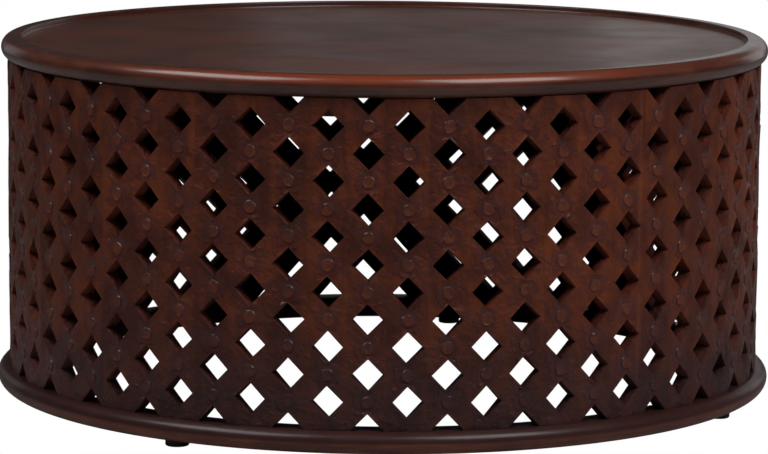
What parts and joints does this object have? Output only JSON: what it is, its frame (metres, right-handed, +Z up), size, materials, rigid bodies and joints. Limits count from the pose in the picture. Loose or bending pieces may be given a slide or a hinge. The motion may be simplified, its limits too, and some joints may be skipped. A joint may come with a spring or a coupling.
{
  "type": "drum coffee table",
  "caption": "Low round drum table: a rimmed tray top on a staved wall pierced with a diamond lattice, on a half-round base ring and small foot pads.",
  "frame": {"origin": "on the floor, under the centre of the table", "axes": "+Z up; -Y towards the front, from which the table is viewed; +X to the right"},
  "size_m": [0.9269, 0.927, 0.425],
  "materials": {
    "stained_wood": "dark brown stain under satin lacquer",
    "inner_wood": "dark stain, unlacquered",
    "foot_pad": "matt black"
  },
  "bodies": {
    "root": {"stave_01": "stained_wood", "stave_02": "stained_wood", "stave_03": "stained_wood", "stave_04": "stained_wood", "stave_05": "stained_wood", "stave_06": "stained_wood", "stave_07": "stained_wood", "stave_08": "stained_wood", "stave_09": "stained_wood", "stave_10": "stained_wood", "stave_11": "stained_wood", "stave_12": "stained_wood", "stave_13": "stained_wood", "stave_14": "stained_wood", "stave_15": "stained_wood", "stave_16": "stained_wood", "stave_17": "stained_wood", "stave_18": "stained_wood", "stave_19": "stained_wood", "stave_20": "stained_wood", "stave_21": "stained_wood", "stave_22": "stained_wood", "base_ring": "stained_wood", "top_rim": "stained_wood", "top_board_1": "stained_wood", "top_board_2": "stained_wood", "top_board_3": "stained_wood", "top_board_4": "stained_wood", "top_board_5": "stained_wood", "top_board_6": "stained_wood", "top_board_7": "stained_wood", "glue_block_01": "inner_wood", "glue_block_02": "inner_wood", "glue_block_03": "inner_wood", "glue_block_04": "inner_wood", "glue_block_05": "inner_wood", "glue_block_06": "inner_wood", "glue_block_07": "inner_wood", "glue_block_08": "inner_wood", "glue_block_09": "inner_wood", "glue_block_10": "inner_wood", "glue_block_11": "inner_wood", "batten_left": "inner_wood", "batten_right": "inner_wood", "foot_pads": "foot_pad"}
  },
  "joints": []
}
